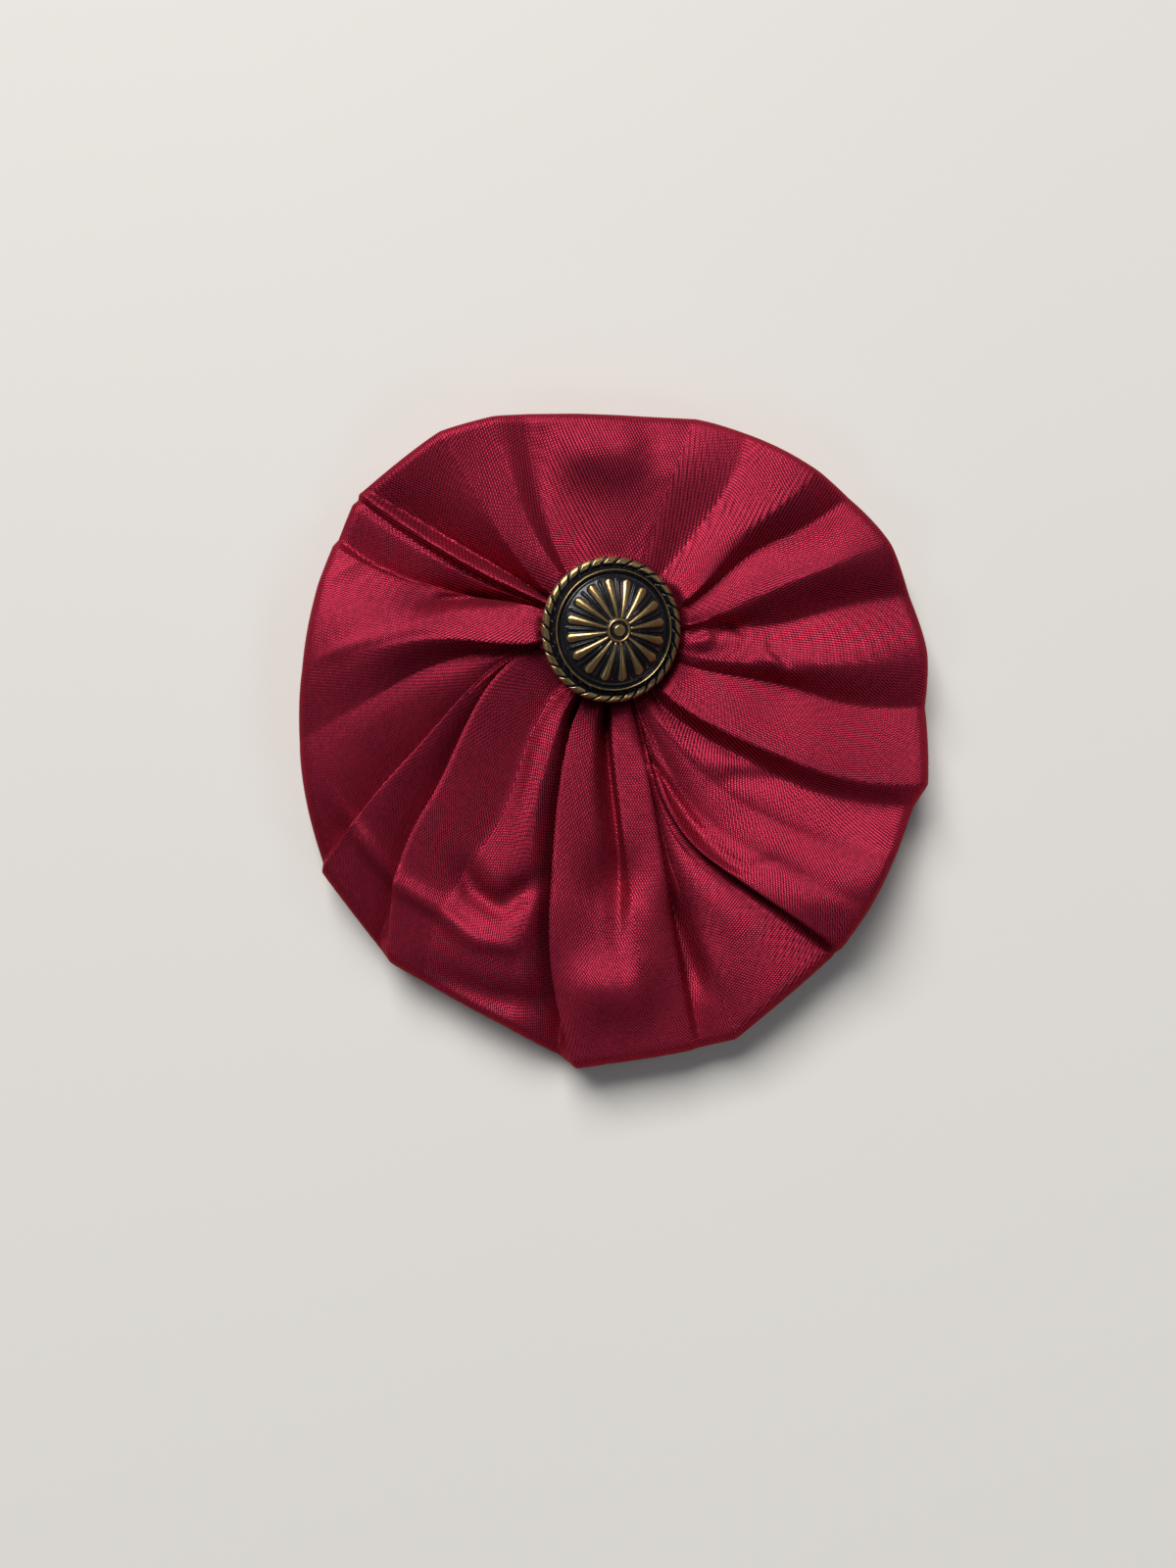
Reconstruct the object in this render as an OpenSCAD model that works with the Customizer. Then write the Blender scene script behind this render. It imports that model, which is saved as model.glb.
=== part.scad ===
// Fabric brooch: a circle of cloth gathered into a flat puff, with a domed metal
// button over the gathers and a brooch pin behind. It lies on its back, face up.
// X is to the right of the face, Y towards its top and Z out of it, in millimetres.
// The origin is on the table, under the middle of the puff's outline.

/* [Cloth puff] */
// Height of the puff's outline, from its top edge to its lowest corner
puff_length = 107; // [100:0.5:115]
// Thickness of the cloth wall
cloth_wall = 1.2; // [1:0.1:1.4]
// Radius of the hole that the gathering thread draws up, under the button
gather_hole_r = 4; // [3.5:0.1:4.5]
// Width of the rounded edge, where the cloth turns from the front to the back
edge_roll = 3; // [2.5:0.5:5]
// How much the cloth between two folds swells, as a share of its width
swell = 0.05; // [0:0.01:0.08]

/* [Button] */
// Radius of the button, over its rope edge
button_r = 11.5; // [10:0.5:12]
// Height of the rope edge's middle over the table, at the button's centre
button_z = 13.6; // [13.4:0.1:15]
// Lean of the button to the right
button_lean_x = 16.4; // [10:0.2:17]
// Lean of the button towards the bottom of the face
button_lean_y = 7.8; // [4:0.2:9]
// Height of the dome over the rope edge's middle
dome_h = 3.7; // [3:0.1:5]
// Petals cast on the dome
petals = 16; // [12:2:20]
// Strands seen round the rope edge
rope_turns = 32; // [24:2:40]

/* [Brooch pin] */
// Length of the pin's bar
bar_length = 26; // [25:0.5:27]
// Width of the pin's bar
bar_width = 5; // [4.6:0.1:5.4]
// Thickness of the pin's bar
bar_t = 0.8; // [0.6:0.1:1]
// Diameter of the needle
needle_d = 1; // [0.8:0.1:1.2]
// Clear height between the needle and the bar, where the garment goes
pin_gap = 4.2; // [4.2:0.1:4.4]
// Distance of the pin to the right of the middle of the puff
pin_x = 1.5; // [1:0.5:2]
// Distance of the pin above the middle of the puff
pin_y = 31; // [30:0.5:31.5]

/* [Hidden] */

// One row for each fold line of the front, counter-clockwise round the gathers.
// Its angle is given beside the button, a third and two thirds of the way out and
// at the edge, then its reach to the edge, then the cloth's height over the table
// at the same four places. Crisp is 0 for a soft fold and 1 for a pressed one, and
// round is 0 where the edge up to the next fold is straight and 1 where it is an arc.
ANGLES = [0, 1, 2, 3];
REACH = 4;
HEIGHTS = [5, 6, 7, 8];
CRISP = 9;
ROUND = 10;
FOLDS = [
    // start, inner, outer, edge, reach, start, inner, outer, edge, crisp, round
    [3, 2, 6.5, 7, 49.7, 8.2, 7.6, 7, 6, 0.3, 0.8],
    [6.5, 14.2, 16, 17, 47.7, 9.3, 11.6, 12.6, 10.2, 0.6, 0.8],
    [19.5, 30, 27.6, 29.5, 45.1, 9.8, 9.4, 7.8, 6.4, 0.9, 0.5],
    [22.5, 34.8, 35.8, 37, 42.8, 11.4, 11.9, 12.2, 10, 1, 0.8],
    [48.5, 49.4, 51, 56, 39.1, 10.2, 10.3, 11.0, 9.2, 0, 0.5],
    [66.5, 68.2, 68.4, 68.5, 37.2, 11.2, 11.7, 12.2, 9.6, 0.6, 0],
    [126, 121, 115.5, 111.5, 37.6, 9.4, 10.5, 10.8, 12, 0.1, 0.2],
    [132, 128.5, 122.7, 119.5, 39.2, 12.2, 12.6, 13.2, 14.2, 0.9, 0.4],
    [147.5, 139.5, 134, 131, 42.2, 10.8, 11.8, 12.1, 13.6, 1, 0.3],
    [149.5, 149.6, 150, 150.6, 46.9, 8, 6.6, 5.6, 8.2, 0.9, 0.2],
    [156, 155.6, 153.2, 151.6, 47.1, 10.6, 9.8, 8.8, 8.8, 0.1, 0],
    [158, 157.6, 155.4, 152.6, 47, 8.4, 7.6, 7.2, 7.8, 0.4, 0],
    [159, 158.8, 156.6, 154, 47.4, 8.6, 8, 7.8, 8.2, 1, 0.2],
    [161, 164.2, 164.6, 161.2, 47.7, 7, 6.3, 5.5, 6, 0.9, 0],
    [162.4, 165.7, 166.4, 163, 47.9, 11.2, 9.2, 8.8, 8.4, 0.8, 0.7],
    [189.5, 182.4, 185.6, 188, 50.9, 13.2, 13.2, 13.8, 11.4, 1, 0.9],
    [190.1, 189.6, 197, 200, 54.3, 10, 9.6, 10.6, 9.4, 0.2, 0.9],
    [190.6, 207.5, 213.1, 218.5, 61, 9.6, 6.6, 6.4, 5.8, 0.8, 0],
    [191.2, 209, 215, 220, 61.8, 10.4, 10.8, 11.4, 9, 1, 0],
    [192, 217.8, 224.6, 234, 64.8, 9.2, 7, 7.2, 6, 0.7, 0],
    [193.5, 220, 226.2, 236.5, 65.3, 10.4, 11.2, 11.4, 9, 1, 0],
    [227, 240.6, 237.8, 242, 65.2, 7.8, 8.4, 9.6, 8.8, 0.7, 0.2],
    [239, 248.4, 254.4, 255, 67.1, 9.6, 11.2, 10.8, 8.8, 0.3, 0.2],
    [244.5, 252.7, 257.6, 263, 70.5, 5.5, 4.6, 5, 4.8, 0.9, 0],
    [246.5, 254.8, 258.8, 265.5, 71.8, 9.4, 11, 12, 9.6, 0.9, 0.3],
    [260, 266, 268, 269.5, 70.8, 9.2, 10.2, 11.8, 9.6, 0.1, 0.2],
    [268, 272.6, 271, 272.7, 70.4, 5, 6.4, 12.2, 9.4, 0.3, 0.3],
    [270, 273.8, 274.4, 277, 70, 9, 10.5, 12, 9.4, 0.6, 0.5],
    [285, 282.9, 281.3, 280.8, 69.8, 9.2, 10.5, 11.4, 9.2, 0.9, 0.5],
    [285.6, 283.3, 282.2, 282.2, 69.8, 8.2, 7.8, 8, 8, 0.3, 0],
    [286.2, 283.7, 285.6, 287, 69.8, 8.2, 8.2, 10, 9.4, 0, 0],
    [287, 284.2, 297.6, 304.3, 64.35, 8.2, 8.2, 10.2, 9.4, 0.2, 0],
    [287.6, 284.8, 298.2, 304.8, 64.3, 7.8, 7.2, 8.4, 8.2, 0.6, 0],
    [288.4, 286, 299.4, 306, 63.8, 8.3, 10, 12, 11.6, 0.9, 0],
    [292, 294, 306, 313, 61.3, 7.4, 7.4, 10.6, 13.4, 0, 0.3],
    [297, 304, 313, 320, 58.9, 7.8, 7.8, 9.8, 13.4, 0, 0.5],
    [305.5, 316.5, 321.4, 330, 57.2, 7, 7.6, 9, 9.4, 0, 0],
    [312, 321.4, 326.4, 334, 57.2, 9.8, 11.4, 12.6, 11.4, 1, 0.5],
    [338, 343.5, 342, 346.5, 53.1, 6.8, 7.4, 8, 7.6, 0.6, 0.8],
    [344.5, 348.5, 352, 356, 51.6, 7.8, 10.2, 12.4, 10.4, 0.3, 0.8]
];

// Rolls and dents that don't run out from the button. Each row gives the half width
// and the height, which is negative for a dent, and then the line that it follows, as
// angles and shares of the way out. They die out towards their ends.
CREASES = [
    // half width, height, line of [angle, out]
    [5, 1.7, [[76, 0.75], [88, 0.72], [100, 0.72], [111, 0.74]]],
    [1.3, 1.5, [[205, 0.95], [230, 0.81], [238, 0.77], [246, 0.80], [253, 0.76], [256, 0.58]]],
    [2, -2.6, [[234, 0.60], [242, 0.68], [248, 0.69], [256, 0.50]]],
    [2.4, -1.6, [[237, 0.98], [245, 0.95], [252, 0.93], [259, 0.88], [262, 0.80]]],
    [4.5, -1.8, [[262, 0.51], [279, 0.51]]],
    [5, 2.6, [[262, 0.80], [279, 0.80]]],
    [1.8, -0.9, [[286, 0.04], [291, 0.27], [294, 0.42], [299, 0.60]]],
    [1.5, -2.4, [[282.6, 0.50], [283.4, 0.68], [283.8, 0.76], [284.2, 0.90]]],
    [2.2, -1, [[158, 0.20], [166, 0.42], [170, 0.54], [173, 0.68]]],
    [4, 1.2, [[300, 0.76], [310, 0.88], [320, 0.97], [326, 0.99]]]
];

// The share of a crease's line over which each end dies out
crease_end = 0.35;

// The folds start at this distance from the gathers, under the button
fold_start_r = 9.8;
// Shares of the way out at which a fold's first, second, third and last places lie
first_place = 0.1;
place_step = 0.3;
// The gathers lie this far from the point that the edge is measured from
gather_shift = [-0.1, -0.75];
// Longest piece of the edge between two columns of the mesh
column_step = 4.4;
fold_count = len(FOLDS);

// The value at x, from 0 to 3, of a smooth line led by four values
function eased(p, x) = let (
        i = min(3, max(0, round(x))),
        t = x - i,
        before = i > 0 ? p[i - 1] : 2 * p[0] - p[1],
        after = i < 3 ? p[i + 1] : 2 * p[3] - p[2]
    ) before * pow(0.5 - t, 2) / 2 + p[i] * (0.75 - t * t) + after * pow(0.5 + t, 2) / 2;
function mixed(a, b, f) = a + (b - a) * f;
function eased_step(f) = f * f * (3 - 2 * f);
function picked(row, columns) = [for (c = columns) row[c]];
function fold(i) = FOLDS[i % fold_count];
function turns(i) = i < fold_count ? 0 : 360;
function place(out) = min(3, max(0, (out - first_place) / place_step));
function fold_angle(i, out) = eased(picked(fold(i), ANGLES), place(out)) + turns(i);
function fold_height(i, out) = eased(picked(fold(i), HEIGHTS), place(out));

// A column of the mesh is a fold's number and the share f of the way to the next one
function angle_at(i, f, out) = mixed(fold_angle(i, out), fold_angle(i + 1, out), f);
function edge_angle(i) = fold(i)[ANGLES[3]] + turns(i);
function drawn_reach(i, f) = let (
        a = fold(i)[REACH],
        b = fold(i + 1)[REACH],
        span = edge_angle(i + 1) - edge_angle(i),
        chord = a * b * sin(span) / (a * sin(span * f) + b * sin(span * (1 - f))),
        arc = pow(span * PI / 180, 2) / 8 * 4 * f * (1 - f)
    ) chord * (1 + fold(i)[ROUND] * arc);
function columns_of(i) = let (
        span = edge_angle(i + 1) - edge_angle(i)
    ) max(1, round(span * PI / 180 * fold(i)[REACH] / column_step));
columns = [
    for (i = [0 : fold_count - 1])
        for (k = [0 : columns_of(i) - 1]) [i, k / columns_of(i)]
];
column_count = len(columns);

// The outline as drawn, its middle and its scale
drawn_edge = [
    for (c = columns)
        drawn_reach(c[0], c[1]) * [cos(angle_at(c[0], c[1], 1)), sin(angle_at(c[0], c[1], 1))]
];
edge_x = [for (p = drawn_edge) p.x];
edge_y = [for (p = drawn_edge) p.y];
scale_up = puff_length / (max(edge_y) - min(edge_y));
edge_centre = -scale_up * [max(edge_x) + min(edge_x), max(edge_y) + min(edge_y)] / 2;
gather = edge_centre + gather_shift;
function reach_at(i, f) = drawn_reach(i, f) * scale_up;

// The button's plane, and how near the cloth comes to its back
lean = [tan(button_lean_x), -tan(button_lean_y)];
rope_r = 0.8;
button_back = 0.9;
under_gap = 0.35;
tuck_r = button_r + 0.7;
function under_button(p) = button_z - button_back - (p - gather) * lean;
throat_drop = 2;

// Where an angle and a share of the way out lie
REACH_ROUND = [for (c = columns) [angle_at(c[0], c[1], 1), reach_at(c[0], c[1])]];
function place_of(a, out) = mixed(gather, edge_centre, out)
    + mixed(fold_start_r, lookup(a, REACH_ROUND), out) * [cos(a), sin(a)];
CREASE_LINES = [for (c = CREASES) [for (q = c[2]) place_of(q[0], q[1])]];

// Height that one crease adds at point p. Its line's nearest place is counted in pieces.
function off_line(line, p) = [
    for (k = [0 : len(line) - 2])
        let (
            d = line[k + 1] - line[k],
            t = min(1, max(0, (p - line[k]) * d / (d * d)))
        ) [norm(p - line[k] - t * d), k + t]
];
function crease(row, line, p) = let (
        near = off_line(line, p),
        off = min([for (n = near) n[0]]),
        along = [for (n = near) if (n[0] == off) n[1]][0] / (len(line) - 1),
        fade = eased_step(min(1, along / crease_end)) * eased_step(min(1, (1 - along) / crease_end))
    ) row[1] * fade * exp(-pow(off / row[0], 2));
function creases_at(p) = [for (k = [0 : len(CREASES) - 1]) crease(CREASES[k], CREASE_LINES[k], p)]
    * [for (c = CREASES) 1];

// Height of the cloth's face at a point of a column, before its edge turns down
function profile(i, f) = let (
        s = fold(i)[CRISP],
        e = fold(i + 1)[CRISP]
    ) eased_step(f) + s * (f * f * f - 2 * f * f + f) + e * (f * f * f - f * f);
function swell_at(i, f, out, r) = let (
        wide = (fold_angle(i + 1, out) - fold_angle(i, out)) * PI / 180 * r
    ) min(1, swell * wide) * 4 * f * (1 - f);
function way_out(i, f, r) = (r - fold_start_r) / (reach_at(i, f) - fold_start_r);
function spot_at(i, f, r) = let (
        out = max(0, way_out(i, f, r)),
        a = angle_at(i, f, out)
    ) mixed(gather, edge_centre, out) + r * [cos(a), sin(a)];
function folds_at(i, f, r) = let (
        out = way_out(i, f, r),
        low = fold_height(i, out),
        high = fold_height(i + 1, out)
    ) mixed(low, high, profile(i, f)) + swell_at(i, f, out, r);
function face_at(i, f, r) = let (
        p = spot_at(i, f, r),
        z = folds_at(i, f, r) + creases_at(p)
    ) r <= tuck_r ? min(z, under_button(p) - under_gap) : z;

// Rings of the front, from the hole to the edge. Inside the folds the cloth sinks
// to the hole, and at the edge it turns down round a quarter of an ellipse.
IN_STEPS = [0, 0.5, 1];
OUT_STEPS = [0, 0.08, 0.18, 0.3, 0.42, 0.54, 0.66, 0.78, 0.9, 1];
TURN_STEPS = [30, 55, 75, 90];
UNDER_STEPS = [35, 65, 90];
under_w = 3;
edge_share = 0.42;
function throat_at(i, f) = let (
        p = spot_at(i, f, gather_hole_r)
    ) [p.x, p.y, under_button(p) - throat_drop];
function in_point(i, f, s) = let (
        r = mixed(gather_hole_r, fold_start_r, s),
        p = spot_at(i, f, r),
        z = mixed(throat_at(i, f).z, face_at(i, f, fold_start_r), s)
    ) [p.x, p.y, min(z, under_button(p) - under_gap)];
function out_point(i, f, s) = let (
        r = mixed(tuck_r, reach_at(i, f) - edge_roll, s),
        p = spot_at(i, f, r)
    ) [p.x, p.y, face_at(i, f, r)];
function edge_z(i, f) = edge_share * face_at(i, f, reach_at(i, f));
function turn_point(i, f, t) = let (
        r = reach_at(i, f) - edge_roll * (1 - sin(t)),
        p = spot_at(i, f, r)
    ) [p.x, p.y, mixed(edge_z(i, f), face_at(i, f, r), cos(t))];
function under_point(i, f, t) = let (
        p = spot_at(i, f, reach_at(i, f) - under_w * (1 - cos(t)))
    ) [p.x, p.y, edge_z(i, f) * (1 - sin(t))];

// Upright thickness of a wall that climbs this steeply
steepest = 2.2;
function upright_wall(climb) = cloth_wall * norm([1, min(climb, steepest)]);

// The back lies on the table near the edge and stands over the pin
BACK_STEPS = [0.82, 0.64, 0.48, 0.34, 0.22, 0.12, 0.05];
foot_clear = 0.3;
cloth_clear = 0.4;
pin_h = foot_clear + needle_d + pin_gap + bar_t;
back_rise = pin_h + cloth_clear;
back_flat = 2.7;
back_slope = 10;
pin_at = [pin_x, pin_y];
function back_share(p) = let (
        side = max(0, abs(p.x - pin_x) - bar_length / 2),
        away = norm([side, p.y - pin_y])
    ) max(0, min(1, 1 - (away - back_flat) / back_slope));
function back_z(p) = back_rise * eased_step(back_share(p));
function back_wall(p) = let (t = back_share(p)) upright_wall(6 * t * (1 - t) * back_rise / back_slope);
function back_point(i, f, s, inside) = let (
        e = under_point(i, f, 90),
        p = mixed(pin_at, [e.x, e.y], s)
    ) [p.x, p.y, back_z(p) + (inside ? back_wall(p) : 0)];

// The inside follows the lowest cloth near each point of its column, lower down where
// the cloth is steep, so that no wall is thin. It stays over the inside of the back.
INSIDE_STEPS = [0, 0.18, 0.34, 0.5, 0.66, 0.82, 1];
INSIDE_BACK_STEPS = [0.05, 0.12, 0.22, 0.34, 0.48, 0.7, 0.94];
beside = 0.08;
inside_gap = 1.5;
// The least wall, as a share of its thickness, where the face dips low beside the pin
thin_share = 0.3;
nose_in = 2.2;
nose_low = 0.5;
function column(c) = columns[(c + column_count) % column_count];
function face_point(c, s) = out_point(column(c)[0], column(c)[1], max(0, min(1, s)));
function run_to(p, q) = norm([p.x - q.x, p.y - q.y]);
function climb_to(p, q) = abs(p.z - q.z) / run_to(p, q);
function inside_point(c, s) = let (
        p = face_point(c, s),
        climb = max(climb_to(p, face_point(c - 1, s)), climb_to(p, face_point(c + 1, s))),
        low = min([
            for (k = [-2 : 2])
                for (d = [-beside, 0, beside])
                    let (q = face_point(c + k, s + d)) q.z + (k == 0 ? 0 : steepest * run_to(p, q))
        ]),
        floor_z = back_z(p) + back_wall(p) + inside_gap
    ) [p.x, p.y, min(low - thin_share * cloth_wall, max(low - upright_wall(climb), floor_z))];

// Under the button it follows the lowest cloth of the columns beside it
IN_INSIDE_STEPS = [1, 0.5];
function inner_in_point(c, s) = let (
        p = in_point(column(c)[0], column(c)[1], s),
        low = min([
            for (k = [-2 : 2])
                let (q = in_point(column(c + k)[0], column(c + k)[1], s)) q.z + steepest * run_to(p, q)
        ])
    ) [p.x, p.y, low - cloth_wall];
function nose_point(i, f) = let (
        p = spot_at(i, f, reach_at(i, f) - nose_in)
    ) [p.x, p.y, max(cloth_wall + nose_low, edge_z(i, f))];
function hole_point(i, f) = throat_at(i, f) - [0, 0, cloth_wall];

// Faces between rings of n points each, and the fan from a pole to its nearest ring
function ring_faces(rings, n) = [
    for (k = [0 : rings - 2])
        for (c = [0 : n - 1])
            let (
                a = k * n + c,
                b = k * n + (c + 1) % n
            )
                for (t = [[a, b, b + n], [a, b + n, a + n]]) t
];
function fan_faces(n, first, pole, outward) = [
    for (c = [0 : n - 1])
        let (a = first + c, b = first + (c + 1) % n) outward ? [pole, a, b] : [pole, b, a]
];

module puff() {
    rings = concat(
        [for (s = INSIDE_BACK_STEPS) [for (c = columns) back_point(c[0], c[1], s, true)]],
        [[for (c = columns) nose_point(c[0], c[1])]],
        [
            for (k = [len(INSIDE_STEPS) - 1 : -1 : 0])
                [for (c = [0 : column_count - 1]) inside_point(c, INSIDE_STEPS[k])]
        ],
        [for (s = IN_INSIDE_STEPS) [for (c = [0 : column_count - 1]) inner_in_point(c, s)]],
        [[for (c = columns) hole_point(c[0], c[1])]],
        [for (s = IN_STEPS) [for (c = columns) in_point(c[0], c[1], s)]],
        [for (s = OUT_STEPS) [for (c = columns) out_point(c[0], c[1], s)]],
        [for (t = TURN_STEPS) [for (c = columns) turn_point(c[0], c[1], t)]],
        [for (t = UNDER_STEPS) [for (c = columns) under_point(c[0], c[1], t)]],
        [for (s = BACK_STEPS) [for (c = columns) back_point(c[0], c[1], s, false)]]
    );
    points = [for (ring = rings) for (p = ring) p];
    inner_pole = [pin_at.x, pin_at.y, back_rise + cloth_wall];
    outer_pole = [pin_at.x, pin_at.y, back_rise];
    count = len(points);
    color("crimson")
    polyhedron(
        points = concat(points, [inner_pole, outer_pole]),
        faces = concat(
            ring_faces(len(rings), column_count),
            fan_faces(column_count, 0, count, false),
            fan_faces(column_count, count - column_count, count + 1, true)
        )
    );
}

// The button's face, as heights over the rope edge's middle
petal_in = 0.175 * button_r;
petal_out = 0.7 * button_r;
petal_h = 0.5;
petal_root = 0.2;
petal_tip = 0.8;
ring_r = 0.815 * button_r;
ring_h = 1.5;
ring_foot = 0.3;
ring_inside = 0.4;
ring_outside = 0.9;
floor_r = 0.77 * button_r;
floor_h = 0.9;
rope_mid = button_r - rope_r;
rope_dip = 0.35;
rope_slant = 4.5;
function dome(r) = mixed(dome_h, floor_h, pow(r / floor_r, 2));
function petal(r, a) = let (
        step = 360 / petals,
        off = abs((a % step) - step / 2) * PI / 180 * r,
        along = (r - petal_in) / (petal_out - petal_in),
        half = mixed(petal_root, petal_tip, along)
    ) along < 0 || along > 1 ? 0 : petal_h * max(0, 1 - pow(off / half, 2));
function rope(r, a) = let (
        across = (r - rope_mid) / rope_r,
        strand = (a + rope_slant * across) * rope_turns,
        body = sqrt(max(0, 1 - across * across))
    ) (rope_r - rope_dip * (1 - abs(sin(strand / 2)))) * body;

// Rings of the boss at the centre: share of the button's radius, height over the dome
BOSS_RINGS = [
    [0.05, 0.6],
    [0.09, 0.45],
    [0.11, 0.05],
    [0.145, 0.4],
    [0.17, 0]
];
// Rings of the petals, as shares of their length, and of the rope, across its wire
PETAL_STEPS = [0.01, 0.25, 0.5, 0.75, 0.92, 1, 1.06];
ROPE_STEPS = [-0.75, -0.2, 0.35, 0.8, 1];
button_angles = [for (c = [0 : petals * 6 - 1]) c * 60 / petals];
function level_ring(r, h) = [for (a = button_angles) [r * cos(a), r * sin(a), h]];
function petal_ring(r) = [
    for (a = button_angles) [r * cos(a), r * sin(a), dome(r) + petal(r, a)]
];
function rope_ring(r) = [for (a = button_angles) [r * cos(a), r * sin(a), rope(r, a)]];
shank_r = 1.9;
shank_wire_r = 0.55;
shank_sunk = 0.4;

module button() {
    rings = concat(
        [for (b = BOSS_RINGS) level_ring(b[0] * button_r, dome(b[0] * button_r) + b[1])],
        [for (s = PETAL_STEPS) petal_ring(mixed(petal_in, petal_out, s))],
        [
            level_ring(floor_r, floor_h),
            level_ring(ring_r - ring_foot, ring_h - ring_inside),
            level_ring(ring_r, ring_h),
            level_ring(ring_r + ring_foot, ring_h - ring_outside)
        ],
        [for (s = ROPE_STEPS) rope_ring(rope_mid + rope_r * s)],
        [
            level_ring(rope_mid + rope_r / 2, -button_back),
            level_ring(shank_r, -button_back)
        ]
    );
    points = [for (ring = rings) for (p = ring) p];
    count = len(points);
    around = len(button_angles);
    color("darkgoldenrod")
    translate([gather.x, gather.y, button_z])
    rotate([button_lean_y, button_lean_x, 0]) {
        polyhedron(
            points = concat(points, [[0, 0, dome_h + BOSS_RINGS[0][1]], [0, 0, -button_back]]),
            faces = concat(
                ring_faces(len(rings), around),
                fan_faces(around, 0, count, false),
                fan_faces(around, count - around, count + 1, true)
            )
        );
        translate([0, 0, -button_back - shank_r + shank_sunk])
        rotate([90, 0, 0])
        rotate_extrude()
        translate([shank_r, 0])
        circle(r = shank_wire_r);
    }
}

// The brooch pin: a bar sewn to the back, a hinge block, a needle and a catch
hinge_l = 3.5;
catch_l = 3;
needle_z = foot_clear + needle_d / 2;
slot_h = needle_d + 2 * foot_clear;
sew_hole_r = 0.8;
sew_hole_gap = 7.5;
tip_l = 3;
tip_d = 0.25;
through = 1;

module needle() {
    from = pin_x - bar_length / 2 + hinge_l / 2;
    to = pin_x + bar_length / 2 - tip_l;
    translate([from, pin_y, needle_z])
    rotate([0, 90, 0])
    cylinder(d = needle_d, h = to - from);
    translate([to, pin_y, needle_z])
    rotate([0, 90, 0])
    cylinder(d1 = needle_d, d2 = tip_d, h = tip_l - foot_clear);
}

module catch_block() {
    difference() {
        translate([pin_x + bar_length / 2 - catch_l, pin_y - bar_width / 2, 0])
        cube([catch_l, bar_width, pin_h - bar_t / 2]);
        translate([
            pin_x + bar_length / 2 - catch_l - through,
            pin_y - needle_d / 2 - foot_clear,
            foot_clear
        ])
        cube([catch_l + 2 * through, bar_width, slot_h - foot_clear]);
    }
}

module brooch_pin() {
    color("silver") {
        difference() {
            translate([pin_x - bar_length / 2, pin_y - bar_width / 2, pin_h - bar_t])
            cube([bar_length, bar_width, bar_t]);
            for (x = [-sew_hole_gap, 0, sew_hole_gap])
                translate([pin_x + x, pin_y, pin_h - bar_t - through])
                cylinder(r = sew_hole_r, h = bar_t + 2 * through);
        }
        translate([pin_x - bar_length / 2, pin_y - bar_width / 2, 0])
        cube([hinge_l, bar_width, pin_h - bar_t / 2]);
        catch_block();
        needle();
    }
}

puff();
button();
brooch_pin();
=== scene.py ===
"""Fabric brooch: the looks of a gathered cloth puff, its antique brass button and the pin behind.

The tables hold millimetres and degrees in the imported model's frame: X to the right of the
face, Y towards its top and Z out of it, with the table at 0. Meshes are made in metres.
"""

import math

import bpy
import numpy as np
from bpy.props import FloatProperty, FloatVectorProperty, IntProperty, PointerProperty
from mathutils import Euler, Matrix, Vector


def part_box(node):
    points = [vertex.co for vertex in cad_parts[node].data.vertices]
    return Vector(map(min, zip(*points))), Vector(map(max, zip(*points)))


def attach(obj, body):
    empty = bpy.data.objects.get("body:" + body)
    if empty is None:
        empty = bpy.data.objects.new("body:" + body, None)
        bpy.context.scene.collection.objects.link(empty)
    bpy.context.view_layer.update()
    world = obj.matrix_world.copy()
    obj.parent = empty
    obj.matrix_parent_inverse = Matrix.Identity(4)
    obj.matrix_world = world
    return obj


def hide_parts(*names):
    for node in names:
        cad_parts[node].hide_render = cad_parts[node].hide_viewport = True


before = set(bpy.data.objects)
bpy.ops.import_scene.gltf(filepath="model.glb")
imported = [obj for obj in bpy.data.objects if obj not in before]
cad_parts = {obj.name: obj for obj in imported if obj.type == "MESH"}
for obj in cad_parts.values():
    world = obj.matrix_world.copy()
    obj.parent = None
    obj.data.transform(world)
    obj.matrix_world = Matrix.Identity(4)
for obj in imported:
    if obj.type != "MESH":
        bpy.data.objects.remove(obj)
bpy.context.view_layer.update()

bl_info = {
    "name": "Fabric Brooch",
    "version": (1, 0, 0),
    "blender": (4, 5, 0),
    "location": "View3D > Sidebar > Brooch",
    "description": "Builds a gathered cloth puff with a cast button and a bar pin",
    "category": "Add Mesh",
}

MM = 0.001

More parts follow.
